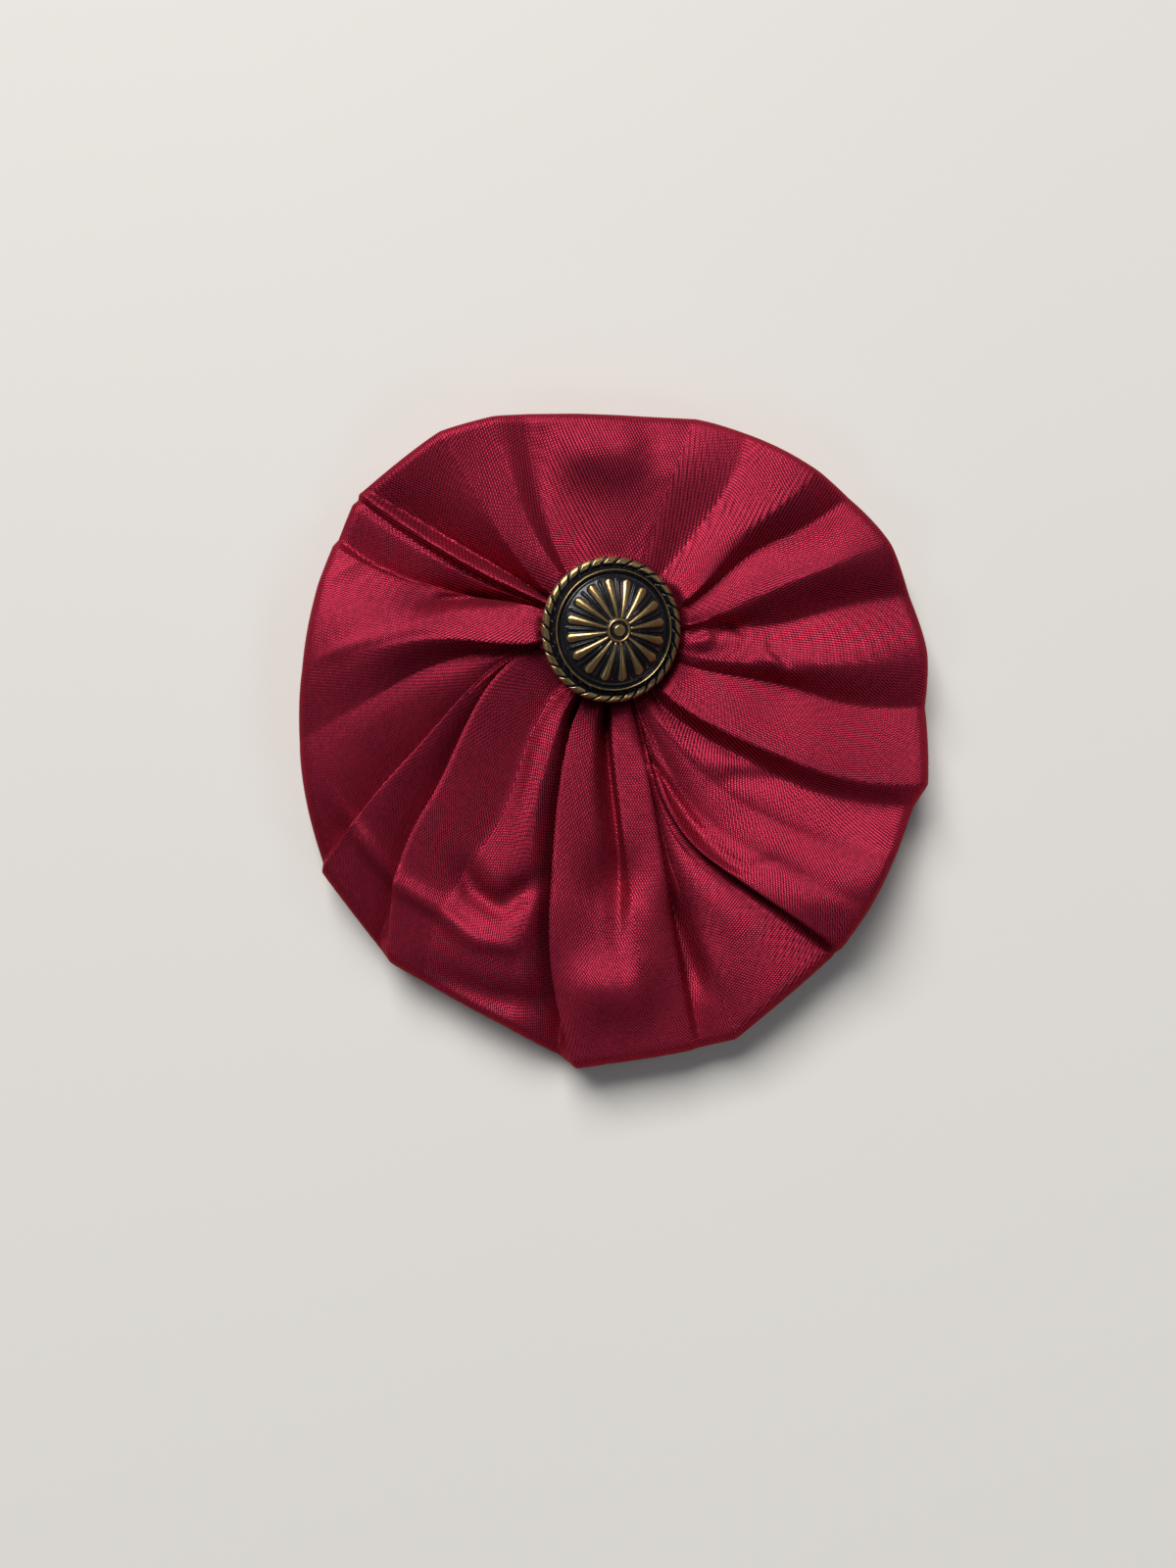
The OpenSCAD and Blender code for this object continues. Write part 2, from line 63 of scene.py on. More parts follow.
# One row for each fold line of the front, counter-clockwise round the gathers. The angle
# and the height over the table are given beside the button, a third and two thirds of the
# way out, and at the edge. Crisp is 0 for a soft fold and 1 for a pressed one. Round is 0
# where the edge up to the next fold is straight and 1 where it is an arc. Tuck is how far
# the fold is pushed sideways under its neighbour, and grain the direction in which the
# twill's lines run on the cloth up to the next fold.
FOLD_COLUMNS = (
    "a_start a_inner a_outer a_edge reach z_start z_inner z_outer z_edge crisp round tuck grain"
).split()
FOLDS = np.array([
    (3, 2, 6.5, 7, 49.7, 8.2, 7.6, 7, 6, 0.3, 0.8, 0, 27),
    (6.5, 14.2, 16, 17, 47.7, 9.3, 11.6, 12.6, 10.2, 0.6, 0.8, 0, 20),
    (19.5, 30, 27.6, 29.5, 45.1, 9.8, 9.4, 7.8, 6.4, 0.9, 0.5, 0, 12),
    (22.5, 34.8, 35.8, 37, 42.8, 11.4, 11.9, 12.2, 10, 1, 0.8, 0, 6),
    (48.5, 49.4, 51, 56, 39.1, 10.2, 10.3, 11.0, 9.2, 0, 0.5, 0, 20),
    (66.5, 68.2, 68.4, 68.5, 37.2, 11.2, 11.7, 12.2, 9.6, 0.6, 0, 0, 52),
    (126, 121, 115.5, 111.5, 37.6, 9.4, 10.5, 10.8, 12, 0.1, 0.2, 0, 100),
    (132, 128.5, 122.7, 119.5, 39.2, 12.2, 12.6, 13.2, 14.2, 0.9, 0.4, 0, 110),
    (147.5, 139.5, 134, 131, 42.2, 10.8, 11.8, 12.1, 13.6, 1, 0.3, 0, 120),
    (149.5, 149.6, 150, 150.6, 46.9, 8, 6.6, 5.6, 8.2, 0.9, 0.2, 0, 140),
    (156, 155.6, 153.2, 151.6, 47.1, 10.6, 9.8, 8.8, 8.8, 0.1, 0, 0, 150),
    (158, 157.6, 155.4, 152.6, 47, 8.4, 7.6, 7.2, 7.8, 0.4, 0, 0, 130),
    (159, 158.8, 156.6, 154, 47.4, 8.6, 8, 7.8, 8.2, 1, 0.2, 0, 160),
    (161, 164.2, 164.6, 161.2, 47.7, 7, 6.3, 5.5, 6, 0.9, 0, 0.6, 134),
    (162.4, 165.7, 166.4, 163, 47.9, 11.2, 9.2, 8.8, 8.4, 0.8, 0.7, 0, 134),
    (189.5, 182.4, 185.6, 188, 50.9, 13.2, 13.2, 13.8, 11.4, 1, 0.9, 0, 150),
    (190.1, 189.6, 197, 200, 54.3, 10, 9.6, 10.6, 9.4, 0.2, 0.9, 0, 155),
    (190.6, 207.5, 213.1, 218.5, 61, 9.6, 6.6, 6.4, 5.8, 0.8, 0, 2.4, 170),
    (191.2, 209, 215, 220, 61.8, 10.4, 10.8, 11.4, 9, 1, 0, 0, 175),
    (192, 217.8, 224.6, 234, 64.8, 9.2, 7, 7.2, 6, 0.7, 0, 2.2, 5),
    (193.5, 220, 226.2, 236.5, 65.3, 10.4, 11.2, 11.4, 9, 1, 0, 0, 20),
    (227, 240.6, 237.8, 242, 65.2, 7.8, 8.4, 9.6, 8.8, 0.7, 0.2, 0, 60),
    (239, 248.4, 254.4, 255, 67.1, 9.6, 11.2, 10.8, 8.8, 0.3, 0.2, 0, 70),
    (244.5, 252.7, 257.6, 263, 70.5, 5.5, 4.6, 5, 4.8, 0.9, 0, 2.8, 40),
    (246.5, 254.8, 258.8, 265.5, 71.8, 9.4, 11, 12, 9.6, 0.9, 0.3, 0, 64),
    (260, 266, 268, 269.5, 70.8, 9.2, 10.2, 11.8, 9.6, 0.1, 0.2, 0, 64),
    (268, 272.6, 271, 272.7, 70.4, 5, 6.4, 12.2, 9.4, 0.3, 0.3, 0, 64),
    (270, 273.8, 274.4, 277, 70, 9, 10.5, 12, 9.4, 0.6, 0.5, 0, 70),
    (285, 282.9, 281.3, 280.8, 69.8, 9.2, 10.5, 11.4, 9.2, 0.9, 0.5, 0, 30),
    (285.6, 283.3, 282.2, 282.2, 69.8, 8.2, 7.8, 8, 8, 0.3, 0, 0, 110),
    (286.2, 283.7, 285.6, 287, 69.8, 8.2, 8.2, 10, 9.4, 0, 0, 0, 20),
    (287, 284.2, 297.6, 304.3, 64.35, 8.2, 8.2, 10.2, 9.4, 0.2, 0, 0, 20),
    (287.6, 284.8, 298.2, 304.8, 64.3, 7.8, 7.2, 8.4, 8.2, 0.6, 0, 1.4, 20),
    (288.4, 286, 299.4, 306, 63.8, 8.3, 10, 12, 11.6, 0.9, 0, 0, 15),
    (292, 294, 306, 313, 61.3, 7.4, 7.4, 10.6, 13.4, 0, 0.3, 0, 10),
    (297, 304, 313, 320, 58.9, 7.8, 7.8, 9.8, 13.4, 0, 0.5, 0, 10),
    (305.5, 316.5, 321.4, 330, 57.2, 7, 7.6, 9, 9.4, 0, 0, 0, 165),
    (312, 321.4, 326.4, 334, 57.2, 9.8, 11.4, 12.6, 11.4, 1, 0.5, 0, 155),
    (338, 343.5, 342, 346.5, 53.1, 6.8, 7.4, 8, 7.6, 0.6, 0.8, 0, 30),
    (344.5, 348.5, 352, 356, 51.6, 7.8, 10.2, 12.4, 10.4, 0.3, 0.8, 0, 27),
])
FOLD = {name: FOLDS[:, k] for k, name in enumerate(FOLD_COLUMNS)}
ANGLES = FOLDS[:, 0:4]
HEIGHTS = FOLDS[:, 5:9]

# Rolls and dents that don't run out from the button: half width, height, and the line
# that they follow, as angles and shares of the way out to the edge.
CREASES = [
    (5.0, 1.7, [(76, 0.75), (88, 0.72), (100, 0.72), (111, 0.74)]),
    (1.3, 1.5, [(205, 0.95), (230, 0.81), (238, 0.77), (246, 0.80), (253, 0.76), (256, 0.58)]),
    (2.0, -2.6, [(234, 0.60), (242, 0.68), (248, 0.69), (256, 0.50)]),
    (2.4, -1.6, [(237, 0.98), (245, 0.95), (252, 0.93), (259, 0.88), (262, 0.80)]),
    (4.5, -1.8, [(262, 0.51), (279, 0.51)]),
    (5.0, 2.6, [(262, 0.80), (279, 0.80)]),
    (
        0.8, 0.9,
        [(282, 0.10), (286.5, 0.31), (289.5, 0.42), (292.3, 0.52), (295, 0.58), (303, 0.68)],
    ),
    (
        0.6, -2.3,
        [(283, -0.05), (287.2, 0.20), (291.3, 0.335), (293.7, 0.47), (298.5, 0.61), (309, 0.70)],
    ),
    (1.8, -0.9, [(286, 0.04), (291, 0.27), (294, 0.42), (299, 0.60)]),
    (1.2, -0.5, [(301, 0.36), (310, 0.40), (322, 0.61)]),
    (1.6, 0.5, [(302, 0.27), (310, 0.33), (322, 0.52)]),
    (1.5, -2.4, [(282.6, 0.50), (283.4, 0.68), (283.8, 0.76), (284.2, 0.90)]),
    (0.6, 0.5, [(350, 0.02), (356, 0.20), (357, 0.40)]),
    (0.6, -0.6, [(355, 0.03), (3, 0.20), (6, 0.40)]),
    (0.9, 1.1, [(350, 0.08), (358, 0.14), (5, 0.12)]),
    (0.6, -0.8, [(8, 0.14), (3, 0.25), (357, 0.31)]),
    (0.7, -0.7, [(357, 0.35), (350, 0.43), (344, 0.45)]),
    (0.9, 0.6, [(354, 0.30), (349, 0.38), (345, 0.52)]),
    (0.9, -1.8, [(159.5, 0.10), (162.5, 0.22), (165.5, 0.34), (169, 0.46), (174, 0.57)]),
    (2.2, -1.0, [(158, 0.20), (166, 0.42), (170, 0.54), (173, 0.68)]),
    (4.0, 1.2, [(300, 0.76), (310, 0.88), (320, 0.97), (326, 0.99)]),
    (1.5, 0.6, [(168, 0.12), (173, 0.36), (177, 0.48), (183, 0.62)]),
    (1.0, 0.6, [(176, 0.40), (180.5, 0.57), (183.5, 0.75), (187.5, 1.0)]),
    (1.0, 0.5, [(173, 1.05), (168, 0.9), (163, 0.81)]),
]

# The share of its length over which a crease's end dies out
CREASE_END = 0.35

# Where the folds' four places lie, as a share of the way out, and where they start
FIRST_PLACE = 0.1
PLACE_STEP = 0.3
FOLD_START = 9.8
# The gathers lie this far from the point that the edge is measured from
GATHER_SHIFT = np.array([-0.1, -0.75])
# Radius of the hole that the gathering thread draws up
HOLE_R = 4.0
# The edge turns down over this width, is widest at this share of the face's height, and
# turns in over this width below. Between two folds the cloth swells by a share of its width.
EDGE_ROLL = 2.4
EDGE_SHARE = 0.42
UNDER_W = 3.0
SWELL = 0.05
# Rings of the mesh round the turned edge, below it and over the back, and how much closer
# they come towards the pin. The columns crowd towards the folds by this share.
TURN_RINGS = 9
UNDER_RINGS = 6
BACK_RINGS = 20
BACK_CROWDING = 1.6
COLUMN_CROWDING = 0.09
# A tuck sets in over the first share of the way out and ends over the last, just past the edge
TUCK_IN = 0.3
TUCK_OUT = 0.2
TUCK_END = 1.02

# The button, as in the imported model
BUTTON_R = 11.5
BUTTON_Z = 13.6
BUTTON_LEAN = (7.8, 16.4)
BUTTON_BACK = 0.9
DOME_H = 3.7
PETALS = 16
STRANDS = 32
ROPE_SLANT = math.radians(4.5)
TUCK_R = BUTTON_R + 0.7
# Rings of the mesh under the button, those of them from the folds' start to its edge, and
# how near its back and how deep they go
GATHER_RINGS = 16
LIP_RINGS = 4
UNDER_GAP = 0.35
THROAT_DROP = 2.6
# Room between the gathers and the plane over them, and between them and the back
GATHER_CLEAR = 0.15
GATHER_ROOM = 1.5
# The gathers die out over this width at the button's edge, and leave a faint tail beyond it
GATHER_FADE = 2.6
TAIL_HEIGHT = 0.06
TAIL_LENGTH = 4.5
# Broad and fine wrinkles, and the drift of the gathers: how many go round the puff, and length
BROAD_WRINKLES = (60, 11.0)
FINE_WRINKLES = (130, 7.0)
GATHER_DRIFT = (30, 9.0)

# The brooch pin: half its length, its place, its height, and the cloth's distance over it
PIN_HALF = 13.0
PIN_X = 1.5
PIN_Y = 31.0
PIN_TOP = 6.3
PIN_CLEAR = 0.4
BAR_T = 0.8
# Its sewing holes, from its middle, and the two threads side by side in each stitch
SEW_HOLES = (-7.5, 0.0, 7.5)
THREAD_STEP = 0.45
THREAD_R = 0.16
# The back is level this near the bar, and comes down over this distance
BACK_FLAT = 2.7
BACK_SLOPE = 10.0

# Columns to each side that a ring's steps are eased over, where the weave is laid out
EASED_COLUMNS = 15
# How far the mesh's corners are eased towards their neighbours
EASE = 0.25

# The floor's half width, and how far it lies under the brooch
FLOOR_HALF = 900.0
FLOOR_GAP = 0.05
# Directions of the weak side lights, and the colours of the window, the sides and the room
SIDE_LIGHTS = (215, 320, 20)
WINDOW_COLOUR = (1.0, 0.98, 0.96)
SIDE_COLOUR = (0.9, 0.96, 1.0)
ROOM_COLOUR = (0.90, 0.97, 1.04)
SENSOR = 36


def mixed(a, b, f):
    return a + (b - a) * f


def smooth(t):
    """0 to 1 with level ends, as t goes from 0 to 1."""
    t = np.clip(t, 0, 1)
    return t * t * (3 - 2 * t)


def led_by(values, x):
    """The smooth line that each column's four values lead, at x from 0 to 3."""
    first = 2 * values[:, :1] - values[:, 1:2]
    last = 2 * values[:, 3:] - values[:, 2:3]
    led = np.concatenate([first, values, last], axis=1)
    k = np.clip(np.rint(x), 0, 3).astype(int)
    t = x - k
    c = np.arange(len(values))
    return (
        led[c, k] * (0.5 - t) ** 2 / 2
        + led[c, k + 1] * (0.75 - t * t)
        + led[c, k + 2] * (0.5 + t) ** 2 / 2
    )


def soft_noise(x, y, around, seed):
    """Smooth noise from -1 to 1 that repeats after around steps of x."""
    grid = np.random.default_rng(seed).uniform(-1, 1, (around, 64))
    column, row = np.floor(x).astype(int), np.floor(y).astype(int)
    s, t = smooth(x - column), smooth(y - row)
    at = lambda i, j: grid[(column + i) % around, (row + j) % 64]
    return mixed(mixed(at(0, 0), at(1, 0), s), mixed(at(0, 1), at(1, 1), s), t)


class Outline:
    """The puff's edge, and the columns of the mesh that run out to it."""

    def __init__(self, length, column_width):
        count = len(FOLDS)
        edge = np.append(FOLD["a_edge"], FOLD["a_edge"][0] + 360)
        self.spans = np.radians(np.diff(edge))
        per_panel = np.maximum(5, np.rint(self.spans * FOLD["reach"] / column_width))
        fold, share = [], []
        for i, n in enumerate(per_panel.astype(int)):
            t = np.arange(n) / n
            fold += [i] * n
            share += list(t - COLUMN_CROWDING * np.sin(2 * np.pi * t))
        self.fold = np.array(fold)
        self.share = np.array(share)
        self.next = (self.fold + 1) % count
        self.turn = np.where(self.fold + 1 < count, 0, 360)
        drawn = self.drawn_reach()
        a = np.radians(mixed(edge[self.fold], edge[self.fold + 1], self.share))
        points = drawn[:, None] * np.stack([np.cos(a), np.sin(a)], axis=1)
        low, high = points.min(0), points.max(0)
        scale = length / (high[1] - low[1])
        self.reach = drawn * scale
        self.centre = -scale * (low + high) / 2
        self.gather = self.centre + GATHER_SHIFT

    def drawn_reach(self):
        """The reach of each column: along a chord between two folds, swelled to an arc."""
        a, b = FOLD["reach"][self.fold], FOLD["reach"][self.next]
        span, f = self.spans[self.fold], self.share
        chord = a * b * np.sin(span) / (a * np.sin(span * f) + b * np.sin(span * (1 - f)))
        arc = span**2 / 8 * 4 * f * (1 - f)
        return chord * (1 + FOLD["round"][self.fold] * arc)

    def out(self, r):
        """The share of the way out to the edge at distance r from the gathers."""
        return (r - FOLD_START) / (self.reach - FOLD_START)

    def angle(self, out):
        place = np.clip((out - FIRST_PLACE) / PLACE_STEP, 0, 3)
        r = np.maximum(mixed(FOLD_START, self.reach, out), FOLD_START)
        away = smooth(out / TUCK_IN) * smooth((TUCK_END - out) / TUCK_OUT)
        tuck = np.degrees(away / r)
        first = led_by(ANGLES[self.fold], place) + tuck * FOLD["tuck"][self.fold]
        second = led_by(ANGLES[self.next], place) + tuck * FOLD["tuck"][self.next]
        return mixed(first, second + self.turn, self.share)

    def spot(self, r):
        """Where distance r lies in plan, for an array of rings of columns."""
        out = np.maximum(0, self.out(r))
        a = np.radians(self.angle(out))
        middle = mixed(self.gather, self.centre, out[..., None])
        return middle + r[..., None] * np.stack([np.cos(a), np.sin(a)], axis=-1)

    def place_of(self, angle, out):
        """Where an angle and a share of the way out lie in plan."""
        edge_angle = mixed(
            FOLD["a_edge"][self.fold], FOLD["a_edge"][self.next] + self.turn, self.share
        )
        reach = np.interp(angle, edge_angle, self.reach, period=360)
        r = mixed(FOLD_START, reach, out)
        a = math.radians(angle)
        return mixed(self.gather, self.centre, out) + r * np.array([math.cos(a), math.sin(a)])


def under_button(outline, p):
    """Height of the plane of the button's back over a point in plan."""
    down, right = (math.tan(math.radians(angle)) for angle in BUTTON_LEAN)
    return BUTTON_Z - BUTTON_BACK - (p - outline.gather) @ np.array([right, -down])


def crease_height(outline, p):
    """The rolls and dents of CREASES, summed at points in plan. They die out at their ends."""
    total = np.zeros(p.shape[:-1])
    for half, height, line in CREASES:
        corners = [outline.place_of(angle, out) for angle, out in line]
        sides = [b - a for a, b in zip(corners, corners[1:])]
        length = sum(np.linalg.norm(d) for d in sides)
        off = np.full(p.shape[:-1], np.inf)
        along = np.zeros(p.shape[:-1])
        passed = 0
        for a, d in zip(corners, sides):
            t = np.clip((p - a) @ d / (d @ d), 0, 1)
            here = np.linalg.norm(p - a - t[..., None] * d, axis=-1)
            along = np.where(here < off, passed + t * np.linalg.norm(d), along)
            off = np.minimum(off, here)
            passed += np.linalg.norm(d)
        end = CREASE_END * length
        fade = smooth(along / end) * smooth((length - along) / end)
        total += height * fade * np.exp(-((off / half) ** 2))
    return total


def fold_height(outline, r):
    """The cloth's height from its folds alone."""
    out = outline.out(r)
    place = np.clip((out - FIRST_PLACE) / PLACE_STEP, 0, 3)
    low = led_by(HEIGHTS[outline.fold], place)
    high = led_by(HEIGHTS[outline.next], place)
    f = outline.share
    start, end = FOLD["crisp"][outline.fold], FOLD["crisp"][outline.next]
    profile = smooth(f) + start * (f**3 - 2 * f**2 + f) + end * (f**3 - f**2)
    span = outline.spans[outline.fold]
    swell = np.minimum(1, SWELL * span * r) * 4 * f * (1 - f)
    return mixed(low, high, profile) + swell


def gather_depth(outline, p):
    """Half the depth of the gathers, as far as there is room between the button and the back."""
    settings = bpy.context.scene.brooch_cloth
    room = under_button(outline, p) - UNDER_GAP - back_height(p) - GATHER_ROOM
    return np.minimum(settings.gather_depth / MM, room / 2)


def puckers(outline, r, p):
    """Fine gathers that are deep under the button and die out beyond it."""
    settings = bpy.context.scene.brooch_cloth
    count = len(outline.fold)
    phase = np.arange(count) / count * settings.gathers * 2 * np.pi
    around, length = GATHER_DRIFT
    drift = soft_noise(np.arange(count) / count * around, r / length, around, 5)
    deep = smooth((BUTTON_R - r) / GATHER_FADE)
    tail = TAIL_HEIGHT * np.exp(-np.maximum(0, r - TUCK_R) / TAIL_LENGTH)
    return (gather_depth(outline, p) * deep + tail) * np.sin(phase + 1.8 * drift)


def wrinkles(outline, r):
    """Small hand wrinkles, long in the direction of the folds."""
    settings = bpy.context.scene.brooch_cloth
    count = len(outline.fold)
    turn = np.arange(count) / count
    around, length = BROAD_WRINKLES
    broad = soft_noise(turn * around, r / length, around, 1)
    around, length = FINE_WRINKLES
    fine = soft_noise(turn * around, r / length + 3, around, 2)
    away = smooth((r - TUCK_R) / 5)
    return settings.wrinkle / MM * away * (0.7 * broad + 0.3 * fine)


def back_height(p):
    """The back lies on the table near the edge and stands over the pin."""
    side = np.maximum(0, np.abs(p[..., 0] - PIN_X) - PIN_HALF)
    away = np.hypot(side, p[..., 1] - PIN_Y)
    return (PIN_TOP + PIN_CLEAR) * smooth(1 - (away - BACK_FLAT) / BACK_SLOPE)


def face_height(outline, r, p):
    z = fold_height(outline, r) + crease_height(outline, p) + wrinkles(outline, r)
    z = z + puckers(outline, r, p)
    ceiling = under_button(outline, p) - UNDER_GAP
    return np.where(r <= TUCK_R, np.minimum(z, ceiling), z)


def puff_rings(outline):
    """Rings of points from the gathered hole, over the face and the edge, to the back."""
    settings = bpy.context.scene.brooch_cloth
    reach = outline.reach

    def ring(r):
        r = np.broadcast_to(r, reach.shape)[None]
        return r, outline.spot(r)

    def drawn(p):
        """Middle height of the gathers under the button."""
        return under_button(outline, p) - UNDER_GAP - GATHER_CLEAR - gather_depth(outline, p)

    rings = []
    for s in np.linspace(0, 1, GATHER_RINGS - LIP_RINGS):
        r, p = ring(mixed(HOLE_R, FOLD_START, s))
        under = under_button(outline, p)
        start = np.minimum(fold_height(outline, ring(FOLD_START)[0]), drawn(p))
        wave = puckers(outline, r, p) * smooth(s * 3)
        z = np.minimum(mixed(under - THROAT_DROP, start, s) + wave, under - UNDER_GAP)
        rings.append(np.concatenate([p, z[..., None]], axis=-1)[0])
    for s in np.linspace(0, 1, LIP_RINGS + 1)[1:]:
        r, p = ring(mixed(FOLD_START, TUCK_R, s))
        low = np.minimum(fold_height(outline, r), drawn(p)) + puckers(outline, r, p)
        ceiling = under_button(outline, p) - UNDER_GAP
        z = np.minimum(mixed(low, face_height(outline, r, p), smooth(s)), ceiling)
        rings.append(np.concatenate([p, z[..., None]], axis=-1)[0])
    for s in np.linspace(0, 1, settings.rings + 1)[1:]:
        r, p = ring(mixed(TUCK_R, reach - EDGE_ROLL, s))
        rings.append(np.concatenate([p, face_height(outline, r, p)[..., None]], axis=-1)[0])
    edge_r, edge_p = ring(reach)
    edge_z = EDGE_SHARE * face_height(outline, edge_r, edge_p)
    for t in np.radians(np.linspace(0, 90, TURN_RINGS + 1)[1:]):
        r, p = ring(reach - EDGE_ROLL * (1 - math.sin(t)))
        z = mixed(edge_z, face_height(outline, r, p), math.cos(t))
        rings.append(np.concatenate([p, z[..., None]], axis=-1)[0])
    top = len(rings)
    for t in np.radians(np.linspace(0, 90, UNDER_RINGS + 1)[1:]):
        r, p = ring(reach - UNDER_W * (1 - math.cos(t)))
        z = edge_z * (1 - math.sin(t))
        rings.append(np.concatenate([p, z[..., None]], axis=-1)[0])
    last = rings[-1][:, :2]
    pin = np.array([PIN_X, PIN_Y])
    for s in np.linspace(1, 0, BACK_RINGS + 2)[1:-1] ** BACK_CROWDING:
        p = mixed(pin, last, s)
        rings.append(np.concatenate([p, back_height(p)[:, None]], axis=-1))
    return np.array(rings), top


def relaxed(points):
    """Eases each ring's corners, as cloth won't hold a knife edge."""
    beside = (np.roll(points, 1, axis=1) + np.roll(points, -1, axis=1)) / 2
    return mixed(points, beside, EASE)


def made_mesh(name, points, faces, smooth_faces=True):
    """A mesh object from points in millimetres."""
    mesh = bpy.data.meshes.new(name)
    mesh.from_pydata([tuple(p) for p in np.asarray(points) * MM], [], faces)
    mesh.update()
    if smooth_faces:
        mesh.polygons.foreach_set("use_smooth", [True] * len(mesh.polygons))
    piece = bpy.data.objects.new(name, mesh)
    bpy.context.scene.collection.objects.link(piece)
    return piece


def grid_faces(rings, around):
    """Quads between rings that close on themselves, as lists of four point numbers."""
    k, c = np.meshgrid(np.arange(rings - 1), np.arange(around), indexing="ij")
    a, b = k * around + c, k * around + (c + 1) % around
    return np.stack([a + around, b + around, b, a], axis=-1).reshape(-1, 4).tolist()


def weave_map(piece, rings, top, outline):
    """Lays the cloth's own plane over the mesh, in millimetres, with the twill's lines along V.

    The face is unrolled along its columns and turned on each panel to that panel's grain.
    The back is the plane that it lies in. The corners run inner side first, where the quads run
    outer side first, so the weave is mirrored within each quad.
    """
    count, around = rings.shape[:2]
    steps = np.linalg.norm(np.diff(rings, axis=0), axis=2)
    window = np.hanning(2 * EASED_COLUMNS + 1)
    wide = np.concatenate([steps[:, -EASED_COLUMNS:], steps, steps[:, :EASED_COLUMNS]], axis=1)
    eased = [np.convolve(row, window / window.sum(), "valid") for row in wide]
    along = np.zeros((count, around))
    along[1:] = np.cumsum(eased, axis=0)
    off = rings[:, :, :2] - outline.gather
    angle = np.arctan2(off[..., 1], off[..., 0])
    start = TUCK_R - along[GATHER_RINGS].mean()
    face = (along + start)[..., None] * np.stack([np.cos(angle), np.sin(angle)], axis=-1)
    plan = np.where((np.arange(count) < top)[:, None, None], face, rings[:, :, :2])
    grain = np.radians(FOLD["grain"][outline.fold])
    turn = np.stack([np.sin(grain), -np.cos(grain), np.cos(grain), np.sin(grain)], axis=-1)
    turn = turn.reshape(around, 2, 2)
    beside = np.roll(plan, -1, axis=1)
    corners = np.stack([plan[:-1], beside[:-1], beside[1:], plan[1:]], axis=2)
    turned = np.einsum("cij,kcqj->kcqi", turn, corners)
    on_back = (np.arange(count - 1) >= top)[:, None, None, None]
    corners = np.where(on_back, corners, turned)
    layer = piece.data.uv_layers.new(name="Weave")
    pole = rings[-1, :, :2]
    middle = np.broadcast_to(pole.mean(0), pole.shape)
    fan = np.stack([middle, np.roll(pole, -1, axis=0), pole], axis=1)
    values = np.concatenate([corners.reshape(-1), fan.reshape(-1)])
    layer.uv.foreach_set("vector", values.astype(np.float32))


class Wire:
    """A node's socket that takes part in sums as a number does."""

    def __init__(self, tree, socket):
        self.tree = tree
        self.socket = socket

    def math(self, operation, *others):
        node = self.tree.nodes.new("ShaderNodeMath")
        node.operation = operation
        for entry, value in zip(node.inputs, others):
            feed(self.tree, entry, value)
        return Wire(self.tree, node.outputs[0])

    def __add__(self, other):
        return self.math("ADD", self, other)

    __radd__ = __add__

    def __sub__(self, other):
        return self.math("SUBTRACT", self, other)

    def __rsub__(self, other):
        return self.math("SUBTRACT", other, self)

    def __mul__(self, other):
        return self.math("MULTIPLY", self, other)

    __rmul__ = __mul__

    def sine(self):
        return self.math("SINE", self)

    def clamped(self):
        return self.math("MINIMUM", self.math("MAXIMUM", self, 0), 1)


def feed(tree, entry, value):
    """Links a wire to a socket, or sets the socket's own value."""
    if isinstance(value, Wire):
        tree.links.new(value.socket, entry)
    else:
        if entry.type == "RGBA" and len(value) == 3:
            value = (*value, 1)
        entry.default_value = value


def shaded(colour, *shares):
    """A colour with each of its channels scaled."""
    return tuple(channel * share for channel, share in zip(colour, shares))


class Finish:
    """A material under construction."""

    def __init__(self, name):
        self.material = bpy.data.materials.new(name)
        self.material.use_nodes = True
        self.tree = self.material.node_tree
        self.tree.nodes.clear()

    def node(self, kind, settings=None, sockets=None, output=0):
        """Adds a node: its settings first, then its sockets' values or links."""
        node = self.tree.nodes.new(kind)
        for name, value in (settings or {}).items():
            setattr(node, name, value)
        for key, value in (sockets or {}).items():
            feed(self.tree, node.inputs[key], value)
        return Wire(self.tree, node.outputs[output]) if node.outputs else None

    def blend(self, factor, a, b):
        """Mixes two colours."""
        sockets = {0: factor, 6: a, 7: b}
        return self.node("ShaderNodeMix", {"data_type": "RGBA"}, sockets, output=2)

    def split(self, vector):
        """The three numbers of a vector."""
        first = self.node("ShaderNodeSeparateXYZ", None, {0: vector})
        node = first.socket.node
        return [Wire(self.tree, s) for s in node.outputs]

    def noise(self, vector, scale, detail, roughness=0.5):
        sockets = {"Vector": vector, "Scale": scale, "Detail": detail, "Roughness": roughness}
        return self.node("ShaderNodeTexNoise", None, sockets)

    def between(self, value, low, high):
        """0 below low and 1 above high, with a soft step between them."""
        settings = {"interpolation_type": "SMOOTHSTEP"}
        sockets = {"Value": value, "From Min": low, "From Max": high}
        return self.node("ShaderNodeMapRange", settings, sockets)

    def bump(self, height, distance, strength):
        sockets = {"Height": height, "Distance": distance, "Strength": strength}
        return self.node("ShaderNodeBump", None, sockets)

    def done(self, **sockets):
        """Ends in a Principled shader whose sockets are named with underscores for spaces."""
        named = {name.replace("_", " "): value for name, value in sockets.items()}
        shader = self.node("ShaderNodeBsdfPrincipled", None, named)
        self.node("ShaderNodeOutputMaterial", None, {"Surface": shader})
        return self.material


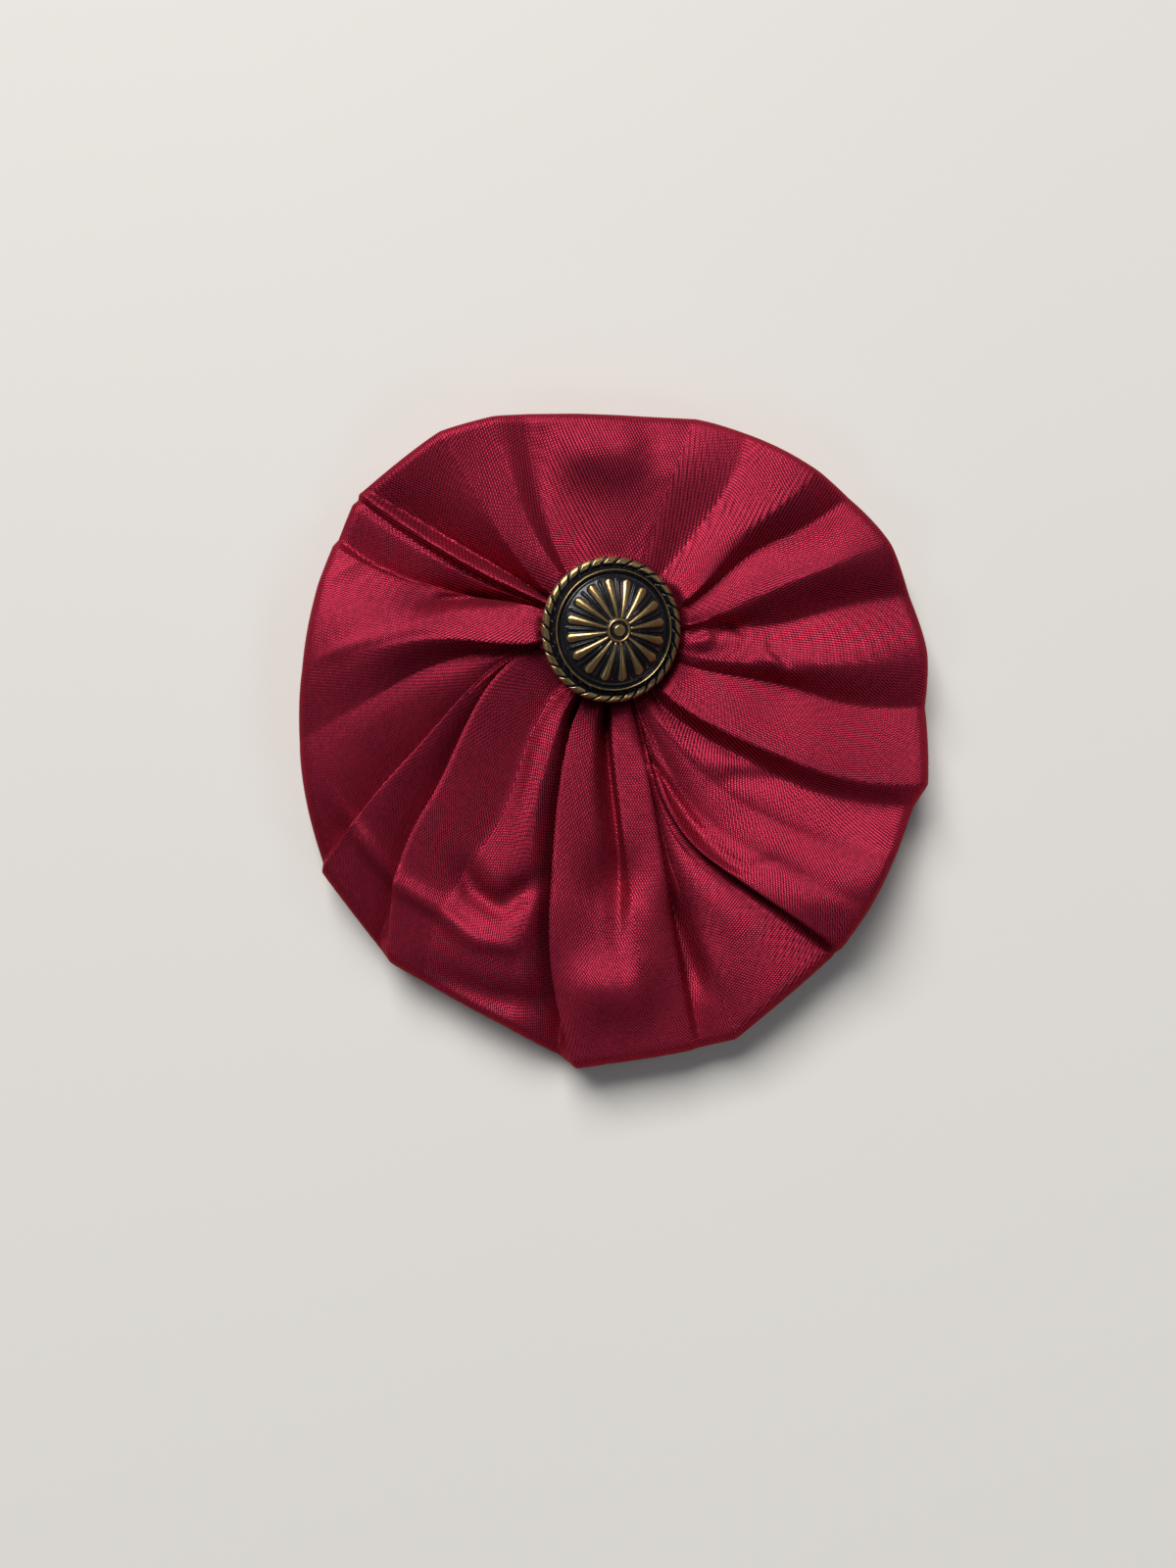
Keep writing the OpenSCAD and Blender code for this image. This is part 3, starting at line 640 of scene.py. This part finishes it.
def cloth_finish(name, lit, deep, pitch):
    """Fine twill: crimson lines painted lit, with painted shade in the gaps between them and a
    soft bloom.
    """
    make = Finish(name)
    plane = make.node("ShaderNodeUVMap", {"uv_map": "Weave"})
    across, along, _ = make.split(plane)
    place = make.node("ShaderNodeTexCoord", None, None, output=3)
    wander = make.noise(plane, 0.35, 2)
    turn = 2 * math.pi / pitch
    line = ((across + 0.25 * wander) * turn).sine() * 0.5 + 0.5
    cross = ((along + across * 0.5) * (turn / 1.15)).sine() * 0.5 + 0.5
    thread = line * (cross * 0.6 + 0.4)
    slub = make.noise(plane, 1.4, 3, 0.6)
    dye = make.noise(place, 60, 3)
    height = thread + slub * 0.35
    # Painted light and shade: lighter on the raised threads and darker in the gaps, mixed with
    # random slub and dye tone
    tone = (thread * 1.1 + slub * 0.6 + dye * 0.4 - 0.48).clamped()
    colour = make.blend(tone, deep, lit)
    return make.done(
        Base_Color=colour,
        Roughness=0.39 + 0.12 * (1 - thread),
        Metallic=0.7,
        Specular_IOR_Level=0.05,
        Specular_Tint=(0.6, 0.05, 0.1),
        Normal=make.bump(height, 0.00009, 0.7),
    )


def brass_finish(name, brass, patina):
    """Antique brass: bright on the worn relief, with a blue-black patina in the hollows."""
    make = Finish(name)
    wear = make.node("ShaderNodeAttribute", {"attribute_name": "wear"}, None, output=2)
    place = make.node("ShaderNodeTexCoord", None, None, output=3)
    mottle = make.noise(place, 900, 4, 0.6)
    grime = make.noise(place, 2600, 3, 0.6)
    bright = make.between(wear + (mottle - 0.5) * 0.3 + (grime - 0.5) * 0.2, 0.36, 0.62)
    warm = make.blend(mottle, shaded(brass, 0.6, 0.5, 0.36), brass)
    colour = make.blend(bright, patina, warm)
    return make.done(
        Base_Color=colour,
        Metallic=0.5 + 0.5 * bright,
        Roughness=0.2 + 0.12 * grime + 0.06 * bright,
        Specular_IOR_Level=0.8,
        Normal=make.bump(grime, 0.00006, 0.5),
    )


def plated_finish(name, colour):
    """Nickel plate with faint polishing lines and dull patches."""
    make = Finish(name)
    place = make.node("ShaderNodeTexCoord", None, None, output=3)
    x, y, z = make.split(place)
    drawn = make.node("ShaderNodeCombineXYZ", None, {0: x * 60, 1: y * 3000, 2: z * 3000})
    scratch = make.noise(drawn, 1.0, 2)
    dull = make.noise(place, 300, 3)
    return make.done(
        Base_Color=make.blend(dull, shaded(colour, 0.8, 0.78, 0.74), colour),
        Metallic=1.0,
        Roughness=0.2 + 0.16 * dull + 0.1 * scratch,
        Normal=make.bump(scratch, 0.00002, 0.4),
    )


def thread_finish(name, colour):
    """Sewing thread, with its ply as fine slanting lines and painted shade in the grooves between
    them.
    """
    make = Finish(name)
    place = make.node("ShaderNodeTexCoord", None, None, output=3)
    x, y, z = make.split(place)
    ply = ((x + y + z) * 22000).sine() * 0.5 + 0.5
    return make.done(
        # Painted shade: the thread is darker where the ply's bump is low, in the grooves between
        # the plies
        Base_Color=make.blend(ply, shaded(colour, 0.6, 0.6, 0.6), colour),
        Roughness=0.7 + 0.1 * ply,
        Normal=make.bump(ply, 0.00004, 0.6),
    )


def floor_finish(name, colour):
    """A plain pale floor, a little warm."""
    make = Finish(name)
    place = make.node("ShaderNodeTexCoord", None, None, output=3)
    tone = make.noise(place, 6, 2)
    return make.done(
        Base_Color=make.blend(tone, shaded(colour, 0.97, 0.97, 0.97), colour),
        Roughness=0.55,
        Specular_IOR_Level=0.2,
    )


def dressed(piece, material):
    piece.data.materials.clear()
    piece.data.materials.append(material)


class ClothSettings(bpy.types.PropertyGroup):
    """Sizes and colours of the puff."""

    length: FloatProperty(
        name="Length", description="Height of the puff's outline",
        default=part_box("puff")[1].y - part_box("puff")[0].y, unit="LENGTH",
    )
    wall: FloatProperty(
        name="Cloth", description="Thickness of the cloth", default=0.00045, unit="LENGTH",
    )
    cut: FloatProperty(
        name="Cut", description="Diameter of the circle that the cloth was cut to",
        default=0.216, unit="LENGTH",
    )
    column_width: FloatProperty(
        name="Column", description="Width of the mesh's columns at the edge",
        default=0.0010, unit="LENGTH",
    )
    rings: IntProperty(
        name="Rings", description="Rings of the mesh from the button to the edge", default=56,
    )
    gathers: IntProperty(
        name="Gathers", description="Small gathers that the thread draws up", default=60,
    )
    gather_depth: FloatProperty(
        name="Gather depth", description="Depth of the gathers under the button",
        default=0.0048, unit="LENGTH",
    )
    wrinkle: FloatProperty(
        name="Wrinkles", description="Height of the small wrinkles", default=0.0003,
        unit="LENGTH",
    )
    pitch: FloatProperty(
        name="Twill", description="Distance between the twill's lines, in millimetres",
        default=0.38,
    )
    # The raised threads' colour is painted lit, and the colour between them is painted shade
    lit: FloatVectorProperty(
        name="Thread", description="Colour of the raised threads", subtype="COLOR",
        default=(0.66, 0.038, 0.090),
    )
    deep: FloatVectorProperty(
        name="Gaps", description="Colour between the threads", subtype="COLOR",
        default=(0.05, 0.0055, 0.013),
    )


class ButtonSettings(bpy.types.PropertyGroup):
    """Colours of the button."""

    brass: FloatVectorProperty(
        name="Brass", description="Colour of the worn relief", subtype="COLOR",
        default=(0.62, 0.45, 0.22),
    )
    patina: FloatVectorProperty(
        name="Patina", description="Colour of the hollows", subtype="COLOR",
        default=(0.016, 0.015, 0.020),
    )


class PinSettings(bpy.types.PropertyGroup):
    """Colours of the pin and of the thread that holds it."""

    plate: FloatVectorProperty(
        name="Plate", description="Colour of the pin's plating", subtype="COLOR",
        default=(0.62, 0.60, 0.57),
    )
    thread: FloatVectorProperty(
        name="Thread", description="Colour of the sewing thread", subtype="COLOR",
        default=(0.30, 0.012, 0.03),
    )


class StageSettings(bpy.types.PropertyGroup):
    """The floor, the light and the camera."""

    floor: FloatVectorProperty(
        name="Floor", description="Colour of the floor", subtype="COLOR",
        default=(0.84, 0.82, 0.78),
    )
    camera_at: FloatVectorProperty(
        name="Camera", description="Place of the camera", subtype="TRANSLATION", unit="LENGTH",
        default=(-0.0042, -0.0067, 0.214),
    )
    lens: FloatProperty(
        name="Lens", description="Focal length for a 36 mm sensor", default=29.14,
    )
    window: FloatProperty(
        name="Window", description="Power of the soft main light, in watts", default=118.0,
    )
    side: FloatProperty(
        name="Sides", description="Power of each weak side light, in watts", default=0.8,
    )
    fill: FloatProperty(
        name="Fill", description="Strength of the light from all sides", default=0.07,
    )


class BROOCH_OT_puff(bpy.types.Operator):
    """Make the gathered cloth"""

    bl_idname = "brooch.puff"
    bl_label = "Puff"

    def execute(self, context):
        settings = context.scene.brooch_cloth
        outline = Outline(settings.length / MM, settings.column_width / MM)
        rings, top = puff_rings(outline)
        rings = relaxed(rings)
        count, around = rings.shape[:2]
        start = (count - 1) * around
        pole = count * around
        fan = [(pole, start + (c + 1) % around, start + c) for c in range(around)]
        middle = rings[-1].mean(0)
        points = np.concatenate([rings.reshape(-1, 3), middle[None]])
        piece = made_mesh("puff_cloth", points, grid_faces(count, around) + fan)
        weave_map(piece, rings, top, outline)
        wall = piece.modifiers.new("Wall", "SOLIDIFY")
        wall.thickness = settings.wall
        wall.offset = -1
        dressed(piece, cloth_finish("crimson_twill", settings.lit, settings.deep, settings.pitch))
        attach(piece, "root")
        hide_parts("puff")
        return {"FINISHED"}


def button_profile(r, a):
    """Height of the button's face over its rope edge's middle, and how worn it is."""
    # The dome, and the floor between it and the rope
    floor_r, floor_h = 0.8 * BUTTON_R, 0.9
    z = np.where(r < floor_r, mixed(DOME_H, floor_h, (r / floor_r) ** 2), floor_h)
    z = z - 0.6 * smooth((r - 0.83 * BUTTON_R) / 0.5)

    # The petals widen outwards and have round tips
    step = 2 * np.pi / PETALS
    petal_start, petal_length = 0.175, 0.525
    along = (r / BUTTON_R - petal_start) / petal_length
    inside = np.clip(along, 0, 1)
    off = np.abs(np.mod(a, step) - step / 2) * r
    tip = np.clip((along - 0.9) / 0.1, 0, 1)
    half = mixed(0.20, 0.86, inside**1.15) * np.sqrt(1 - tip**2)
    petal = np.sqrt(np.maximum(0, 1 - (off / np.maximum(half, 1e-3)) ** 2))
    petal = np.where((along > 0) & (along < 1), petal, 0)
    z = z + (0.25 + 0.45 * inside) * petal
    wear = petal

    # Slim ridges stand between the petals
    off = np.abs(np.mod(a + step / 2, step) - step / 2) * r
    half = mixed(0.10, 0.30, inside)
    slim = np.maximum(0, 1 - (off / half) ** 2) * smooth((along - 0.2) * 5)
    z = z + 0.34 * slim * smooth((1.04 - along) * 8)

    # The ring round the boss, the dome's foot and the thin inner ring
    for radius, half, height, worn in (
        (0.145 * BUTTON_R, 0.24, 0.40, 1.0),
        (0.75 * BUTTON_R, 0.18, 0.12, 0.0),
        (0.815 * BUTTON_R, 0.15, 0.75, 0.95),
    ):
        bead = np.exp(-(((r - radius) / half) ** 2))
        z = z + height * bead
        wear = np.maximum(wear, worn * bead)
    # The boss in the middle
    boss = smooth((0.095 * BUTTON_R - r) / 0.3)
    z = z + 0.6 * boss
    wear = np.maximum(wear, boss)

    # The rope round the edge, twisted from strands
    rope_r = 0.8
    across = (r - (BUTTON_R - rope_r)) / rope_r
    strand = np.mod((a + ROPE_SLANT * across) * STRANDS / (2 * np.pi), 1)
    lobe = 1 - smooth((np.abs(strand - 0.5) * 2 - 0.66) / 0.22)
    body = np.sqrt(np.maximum(0, 1 - across**2))
    rope = np.maximum(body * rope_r * (0.5 + 0.5 * lobe), 0.05)
    worn = lobe * smooth((across + 0.42) / 0.3) * (0.6 + 0.4 * body)
    return np.where(across > -0.93, rope, z), np.where(across > -0.93, worn, wear)


class BROOCH_OT_button(bpy.types.Operator):
    """Make the cast button"""

    bl_idname = "brooch.button"
    bl_label = "Button"

    def execute(self, context):
        settings = context.scene.brooch_button
        around = STRANDS * 18
        a = np.arange(around) / around * 2 * np.pi
        boss_end, petal_end = 0.18 * BUTTON_R, 0.66 * BUTTON_R
        radii = np.concatenate([
            np.linspace(0.15, boss_end, 18)[:-1],
            np.linspace(boss_end, petal_end, 22)[:-1],
            np.linspace(petal_end, BUTTON_R - 0.02, 50),
        ])
        rings = []
        wear = []
        for r in radii:
            z, worn = button_profile(np.full(around, r), a)
            rings.append(np.stack([r * np.cos(a), r * np.sin(a), z], axis=1))
            wear.append(worn)
        # The edge's outside and the back, as radius and height
        back_worn = 0.35
        for r, z in (
            (BUTTON_R, -0.1),
            (BUTTON_R - 0.1, -0.5),
            (BUTTON_R - 0.5, -0.85),
            (BUTTON_R - 1.2, -BUTTON_BACK),
            (6.0, -BUTTON_BACK + 0.1),
            (2.6, -BUTTON_BACK),
        ):
            rings.append(np.stack([r * np.cos(a), r * np.sin(a), np.full(around, z)], axis=1))
            wear.append(np.full(around, back_worn))
        rings = np.array(rings)
        count = len(rings)
        first, last = count * around, count * around + 1
        start = (count - 1) * around
        front = [(first, c, (c + 1) % around) for c in range(around)]
        back = [(last, start + (c + 1) % around, start + c) for c in range(around)]
        poles = np.array([[0, 0, rings[0, :, 2].mean() + 0.02], [0, 0, -BUTTON_BACK]])
        points = np.concatenate([rings.reshape(-1, 3), poles])
        piece = made_mesh("button_cast", points, grid_faces(count, around) + front + back)
        layer = piece.data.attributes.new("wear", "FLOAT", "POINT")
        values = np.concatenate([np.array(wear).reshape(-1), [1.0, back_worn]])
        layer.data.foreach_set("value", values.astype(np.float32))
        shank = self.shank()
        outline = Outline(context.scene.brooch_cloth.length / MM, 1.0)
        x, y = outline.gather
        lean = Euler((math.radians(BUTTON_LEAN[0]), math.radians(BUTTON_LEAN[1]), 0), "XYZ")
        put = Matrix.Translation(Vector((x, y, BUTTON_Z)) * MM) @ lean.to_matrix().to_4x4()
        material = brass_finish("antique_brass", settings.brass, settings.patina)
        for part in (piece, shank):
            part.data.transform(put)
            dressed(part, material)
            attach(part, "root")
        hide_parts("button")
        return {"FINISHED"}

    def shank(self):
        """The wire loop behind the button."""
        loop_r, wire_r, steps, sides = 1.9, 0.55, 40, 14
        points, faces = [], []
        for k in range(steps):
            u = 2 * math.pi * k / steps
            for j in range(sides):
                v = 2 * math.pi * j / sides
                r = loop_r + wire_r * math.cos(v)
                z = -BUTTON_BACK - loop_r + 0.4 + r * math.sin(u)
                points.append((r * math.cos(u), wire_r * math.sin(v), z))
                a, b = k * sides + j, k * sides + (j + 1) % sides
                c, d = (k + 1) % steps * sides + (j + 1) % sides, (k + 1) % steps * sides + j
                faces.append((a, b, c, d))
        piece = made_mesh("button_shank", points, faces)
        layer = piece.data.attributes.new("wear", "FLOAT", "POINT")
        layer.data.foreach_set("value", [0.5] * len(points))
        return piece


def thread_curve(name, points, radius):
    """A length of thread through points in millimetres, as a round tube."""
    curve = bpy.data.curves.new(name, "CURVE")
    curve.dimensions = "3D"
    curve.bevel_depth = radius * MM
    curve.bevel_resolution = 3
    curve.resolution_u = 6
    curve.use_fill_caps = True
    spline = curve.splines.new("NURBS")
    spline.points.add(len(points) - 1)
    for knot, p in zip(spline.points, points):
        knot.co = (*(Vector(p) * MM), 1)
    spline.use_endpoint_u = True
    spline.order_u = 3
    piece = bpy.data.objects.new(name, curve)
    bpy.context.scene.collection.objects.link(piece)
    return piece


class BROOCH_OT_pin(bpy.types.Operator):
    """Finish the brooch pin and sew it on"""

    bl_idname = "brooch.pin"
    bl_label = "Pin"

    def execute(self, context):
        settings = context.scene.brooch_pin
        dressed(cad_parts["brooch_pin"], plated_finish("nickel_plate", settings.plate))
        material = thread_finish("sewing_thread", settings.thread)
        bar_low = PIN_TOP - BAR_T
        for hole in SEW_HOLES:
            for side in (-1, 1):
                for k, lift in enumerate((0.0, 0.28)):
                    # Down through the hole, along under the bar and up into the cloth beside it
                    x = PIN_X + hole + (k - 0.5) * THREAD_STEP
                    points = [
                        (x, PIN_Y + side * 0.1, PIN_TOP + 0.35),
                        (x, PIN_Y + side * 0.25, bar_low - 0.1),
                        (x, PIN_Y + side * 0.9, bar_low - 0.28 - lift * 0.3),
                        (x, PIN_Y + side * 2.3, bar_low - 0.22),
                        (x, PIN_Y + side * 2.72, bar_low + 0.1),
                        (x, PIN_Y + side * 2.8, PIN_TOP + 0.4),
                    ]
                    side_name = "top" if side > 0 else "low"
                    name = f"pin_stitch_{round(hole) + 8}_{side_name}_{k}"
                    piece = thread_curve(name, points, THREAD_R)
                    piece.data.materials.append(material)
                    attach(piece, "root")
        return {"FINISHED"}


class BROOCH_OT_stage(bpy.types.Operator):
    """Set the floor, the light and the camera"""

    bl_idname = "brooch.stage"
    bl_label = "Stage"

    def execute(self, context):
        settings = context.scene.brooch_stage
        corners = [
            (x * FLOOR_HALF, y * FLOOR_HALF, -FLOOR_GAP)
            for x, y in ((-1, -1), (1, -1), (1, 1), (-1, 1))
        ]
        floor = made_mesh("floor", corners, [(0, 1, 2, 3)], False)
        dressed(floor, floor_finish("pale_floor", settings.floor))
        self.soft_light(
            "window_light", azimuth=110, elevation=46, distance=3.2, size=(2.0, 1.6),
            power=settings.window, colour=WINDOW_COLOUR,
        )
        for azimuth in SIDE_LIGHTS:
            self.soft_light(
                f"side_light_{azimuth}", azimuth=azimuth, elevation=42, distance=1.5,
                size=(0.3, 0.3), power=settings.side, colour=SIDE_COLOUR,
            )
        world = bpy.data.worlds.new("soft_room")
        world.use_nodes = True
        background = world.node_tree.nodes["Background"]
        background.inputs["Color"].default_value = (*ROOM_COLOUR, 1)
        background.inputs["Strength"].default_value = settings.fill
        context.scene.world = world
        camera = bpy.data.cameras.new("camera")
        camera.lens = settings.lens
        camera.sensor_width = SENSOR
        camera.clip_start = 0.005
        holder = bpy.data.objects.new("camera", camera)
        holder.location = settings.camera_at
        context.scene.collection.objects.link(holder)
        context.scene.camera = holder
        context.scene.view_settings.view_transform = "Standard"
        return {"FINISHED"}

    def soft_light(self, name, azimuth, elevation, distance, size, power, colour):
        """A rectangular area light aimed at the brooch."""
        light = bpy.data.lights.new(name, "AREA")
        light.shape = "RECTANGLE"
        light.size, light.size_y = size
        light.energy = power
        light.color = colour
        a, e = math.radians(azimuth), math.radians(elevation)
        way = Vector((math.cos(a) * math.cos(e), math.sin(a) * math.cos(e), math.sin(e)))
        holder = bpy.data.objects.new(name, light)
        holder.location = way * distance
        holder.rotation_euler = way.to_track_quat("Z", "Y").to_euler()
        bpy.context.scene.collection.objects.link(holder)


class BROOCH_PT_panel(bpy.types.Panel):
    """Lists the brooch's pieces"""

    bl_label = "Fabric Brooch"
    bl_idname = "BROOCH_PT_panel"
    bl_space_type = "VIEW_3D"
    bl_region_type = "UI"
    bl_category = "Brooch"

    def draw(self, context):
        for operator, group in PIECES:
            box = self.layout.box()
            box.operator(operator.bl_idname)
            settings = getattr(context.scene, group)
            for name in settings.__annotations__:
                box.prop(settings, name)


SETTINGS = {
    "brooch_cloth": ClothSettings,
    "brooch_button": ButtonSettings,
    "brooch_pin": PinSettings,
    "brooch_stage": StageSettings,
}
PIECES = (
    (BROOCH_OT_puff, "brooch_cloth"),
    (BROOCH_OT_button, "brooch_button"),
    (BROOCH_OT_pin, "brooch_pin"),
    (BROOCH_OT_stage, "brooch_stage"),
)
CLASSES = (*SETTINGS.values(), *(operator for operator, _ in PIECES), BROOCH_PT_panel)


def register():
    for made in CLASSES:
        bpy.utils.register_class(made)
    for name, group in SETTINGS.items():
        setattr(bpy.types.Scene, name, PointerProperty(type=group))


def unregister():
    for name in SETTINGS:
        delattr(bpy.types.Scene, name)
    for made in reversed(CLASSES):
        bpy.utils.unregister_class(made)


def main():
    """Registers the add-on and makes every piece in order."""
    register()
    bpy.ops.brooch.puff()
    bpy.ops.brooch.button()
    bpy.ops.brooch.pin()
    bpy.ops.brooch.stage()
    bpy.context.view_layer.update()


if __name__ == "__main__":
    main()
